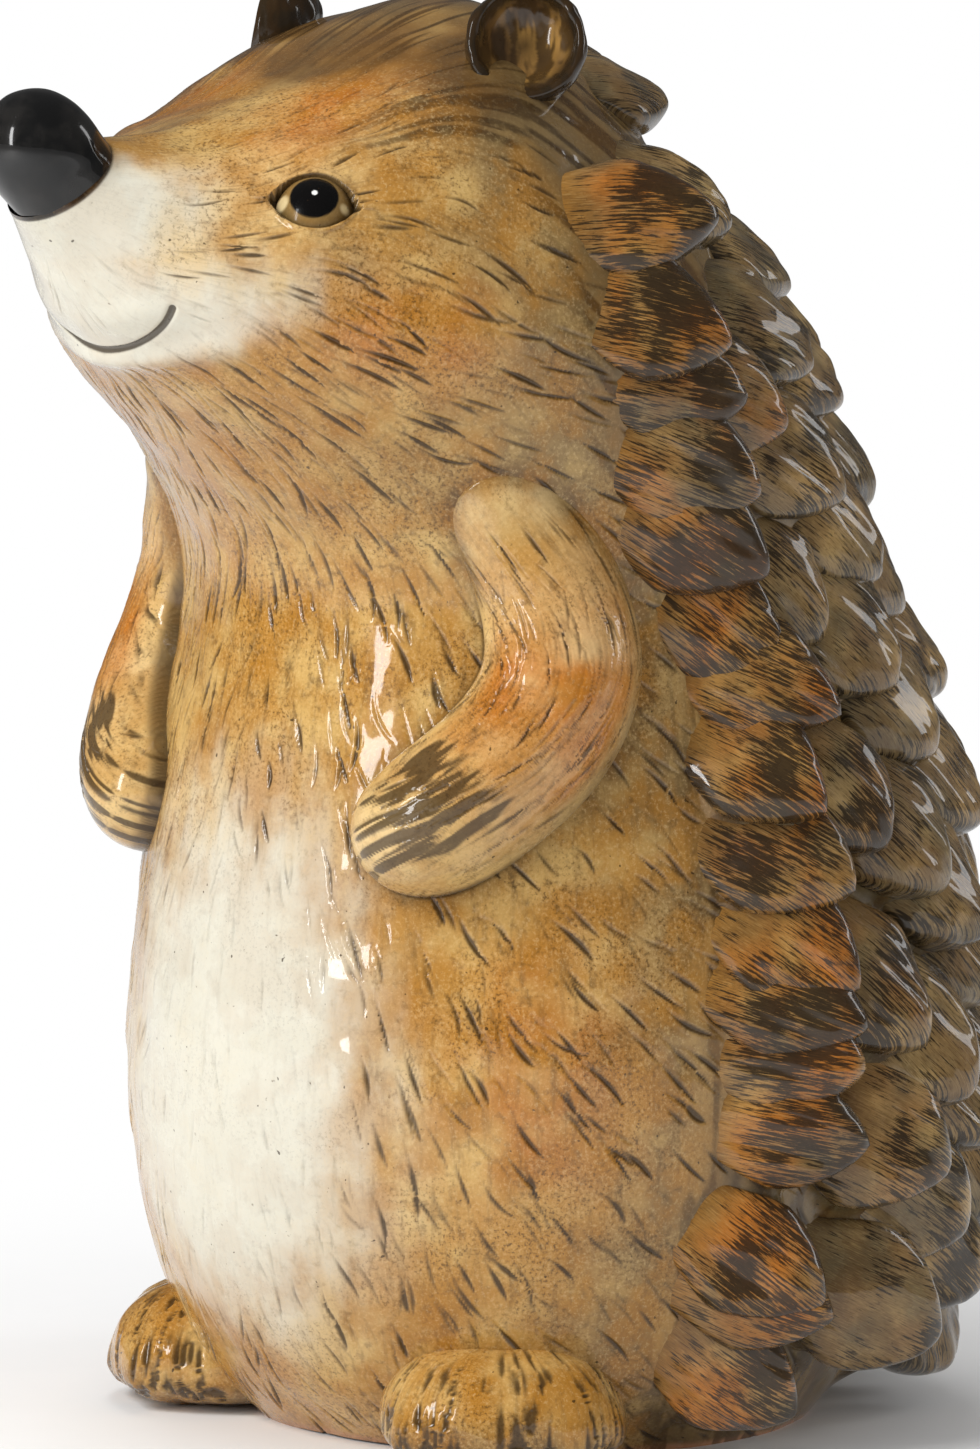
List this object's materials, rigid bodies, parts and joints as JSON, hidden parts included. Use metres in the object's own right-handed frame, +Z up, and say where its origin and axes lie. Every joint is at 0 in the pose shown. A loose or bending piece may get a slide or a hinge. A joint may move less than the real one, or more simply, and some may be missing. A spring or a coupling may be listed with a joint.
{
  "type": "hedgehog figurine",
  "caption": "Free-standing hand-painted glazed ceramic hedgehog sitting upright with raised nose, folded arms, scratched fur and a back of overlapping scale-like spines.",
  "frame": {"origin": "middle of the flat base, where the figurine stands", "axes": "+Z up, the animal faces -Y, its left side is +X"},
  "size_m": [0.1952, 0.2405, 0.2992],
  "materials": {
    "fur_glaze": "gloss",
    "back_glaze": "gloss",
    "spine_glaze": "gloss",
    "limb_glaze": "gloss",
    "ear_glaze": "gloss",
    "eye_glaze": "gloss",
    "black_glaze": "gloss",
    "bare_clay": "matte"
  },
  "bodies": {
    "root": {"front_shell": "fur_glaze", "back_shell": "back_glaze", "base_slab": "bare_clay", "nose": "black_glaze", "left_eye": "eye_glaze", "right_eye": "eye_glaze", "left_ear": "ear_glaze", "right_ear": "ear_glaze", "left_arm": "limb_glaze", "right_arm": "limb_glaze", "left_foot": "limb_glaze", "right_foot": "limb_glaze", "spine_row_01": "spine_glaze", "spine_row_02": "spine_glaze", "spine_row_03": "spine_glaze", "spine_row_04": "spine_glaze", "spine_row_05": "spine_glaze", "spine_row_06": "spine_glaze", "spine_row_07": "spine_glaze", "spine_row_08": "spine_glaze", "spine_row_09": "spine_glaze", "spine_row_10": "spine_glaze", "spine_row_11": "spine_glaze", "spine_row_12": "spine_glaze", "spine_row_13": "spine_glaze", "spine_row_14": "spine_glaze", "left_fringe": "spine_glaze", "right_fringe": "spine_glaze"}
  },
  "joints": []
}
